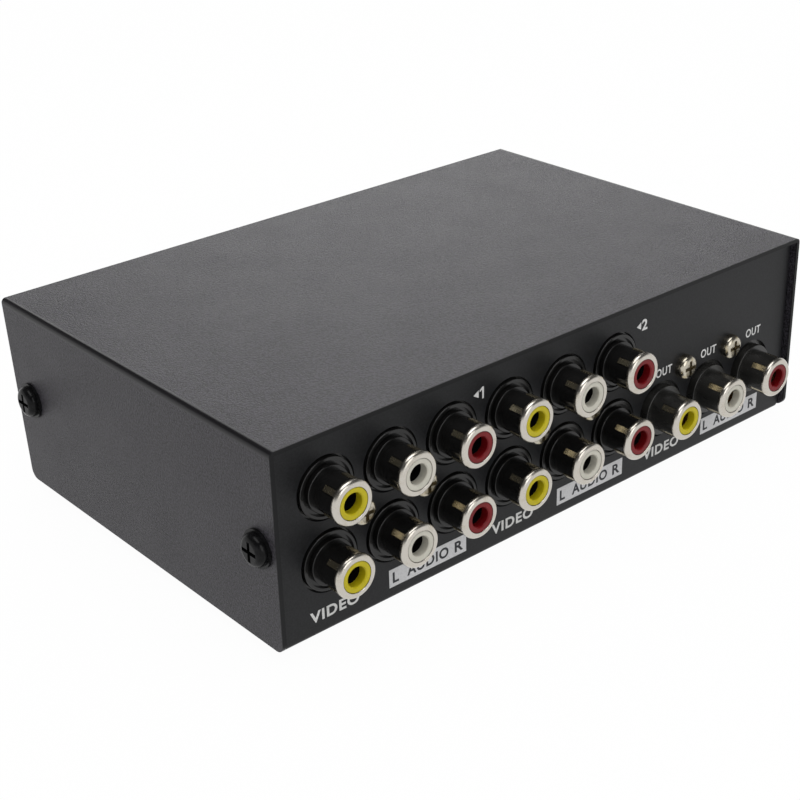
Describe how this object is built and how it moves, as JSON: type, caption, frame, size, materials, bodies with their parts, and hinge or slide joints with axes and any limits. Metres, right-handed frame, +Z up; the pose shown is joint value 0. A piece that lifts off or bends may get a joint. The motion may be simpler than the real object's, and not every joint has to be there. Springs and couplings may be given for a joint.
{
  "type": "audio video selector switch",
  "caption": "Passive audio video selector box: folded black steel case, phono jacks on the rear panel, push buttons in front that join one input to the output.",
  "frame": {"origin": "on the plane the rubber feet stand on, under the middle of the box, half way between the button fronts and the jack fronts", "axes": "+Z up, +Y out of the jack panel, -Y out of the button panel, +X to the left as seen from the jacks"},
  "size_m": [0.1402, 0.1006, 0.0409],
  "materials": {
    "black_powder_coat": "fine-grained satin black powder coat",
    "black_panel_paint": "smooth satin black paint with white and grey printing",
    "black_screw": "black oxide, slightly glossy",
    "bright_screw": "nickel plated, bright",
    "nickel": "nickel plated, bright",
    "black_moulding": "glossy black moulded plastic",
    "yellow_insulator": "glossy yellow moulded plastic",
    "white_insulator": "glossy white moulded plastic",
    "red_insulator": "glossy red moulded plastic",
    "tinned_brass": "tinned brass",
    "circuit_board": "brown paper laminate with solder mask",
    "zinc_steel": "zinc plated steel",
    "spring_steel": "bright spring wire",
    "switch_moulding": "off-white moulded plastic",
    "button_plastic": "satin black moulded plastic",
    "foot_rubber": "black rubber"
  },
  "bodies": {
    "case": {"base_tray": "black_panel_paint", "centre_contacts": "tinned_brass", "circuit_board": "circuit_board", "circuit_board_screws": "zinc_steel", "circuit_board_standoffs": "zinc_steel", "contact_ring_input_1_audio_left": "nickel", "contact_ring_input_1_audio_right": "nickel", "contact_ring_input_1_video": "nickel", "contact_ring_input_2_audio_left": "nickel", "contact_ring_input_2_audio_right": "nickel", "contact_ring_input_2_video": "nickel", "contact_ring_input_3_audio_left": "nickel", "contact_ring_input_3_audio_right": "nickel", "contact_ring_input_3_video": "nickel", "contact_ring_input_4_audio_left": "nickel", "contact_ring_input_4_audio_right": "nickel", "contact_ring_input_4_video": "nickel", "contact_ring_output_audio_left": "nickel", "contact_ring_output_audio_right": "nickel", "contact_ring_output_video": "nickel", "cover_screws": "black_screw", "input_block_1_3": "black_moulding", "input_block_2_4": "black_moulding", "insulator_input_1_audio_left": "white_insulator", "insulator_input_1_audio_right": "red_insulator", "insulator_input_1_video": "yellow_insulator", "insulator_input_2_audio_left": "white_insulator", "insulator_input_2_audio_right": "red_insulator", "insulator_input_2_video": "yellow_insulator", "insulator_input_3_audio_left": "white_insulator", "insulator_input_3_audio_right": "red_insulator", "insulator_input_3_video": "yellow_insulator", "insulator_input_4_audio_left": "white_insulator", "insulator_input_4_audio_right": "red_insulator", "insulator_input_4_video": "yellow_insulator", "insulator_output_audio_left": "white_insulator", "insulator_output_audio_right": "red_insulator", "insulator_output_video": "yellow_insulator", "jack_block_screws": "bright_screw", "lock_plate_spring": "spring_steel", "output_block": "black_moulding", "return_spring_1": "spring_steel", "return_spring_2": "spring_steel", "return_spring_3": "spring_steel", "return_spring_4": "spring_steel", "rubber_feet": "foot_rubber", "switch_frame": "zinc_steel", "switch_housing": "switch_moulding", "switch_terminals": "tinned_brass", "top_cover": "black_powder_coat"},
    "lock_plate": {"lock_plate": "zinc_steel"},
    "button_1": {"plunger_1": "switch_moulding", "button_cap_1": "button_plastic"},
    "button_2": {"plunger_2": "switch_moulding", "button_cap_2": "button_plastic"},
    "button_3": {"plunger_3": "switch_moulding", "button_cap_3": "button_plastic"},
    "button_4": {"plunger_4": "switch_moulding", "button_cap_4": "button_plastic"}
  },
  "joints": [
    {"name": "button_1_push", "type": "slide", "parent": "case", "child": "button_1", "axis": [0, 1, 0], "range_m": [0, 0.004], "stiffness_N_per_m": 400, "springref_m": -0.003, "deforming": ["return_spring_1"]},
    {"name": "button_2_push", "type": "slide", "parent": "case", "child": "button_2", "axis": [0, 1, 0], "range_m": [0, 0.004], "stiffness_N_per_m": 400, "springref_m": -0.003, "deforming": ["return_spring_2"]},
    {"name": "button_3_push", "type": "slide", "parent": "case", "child": "button_3", "axis": [0, 1, 0], "range_m": [0, 0.004], "stiffness_N_per_m": 400, "springref_m": -0.003, "deforming": ["return_spring_3"]},
    {"name": "button_4_push", "type": "slide", "parent": "case", "child": "button_4", "axis": [0, 1, 0], "range_m": [0, 0.004], "stiffness_N_per_m": 400, "springref_m": -0.003, "deforming": ["return_spring_4"]},
    {"name": "lock_plate_slide", "type": "slide", "parent": "case", "child": "lock_plate", "axis": [1, 0, 0], "range_m": [0, 0.0015], "stiffness_N_per_m": 300, "springref_m": -0.002, "deforming": ["lock_plate_spring"]}
  ]
}
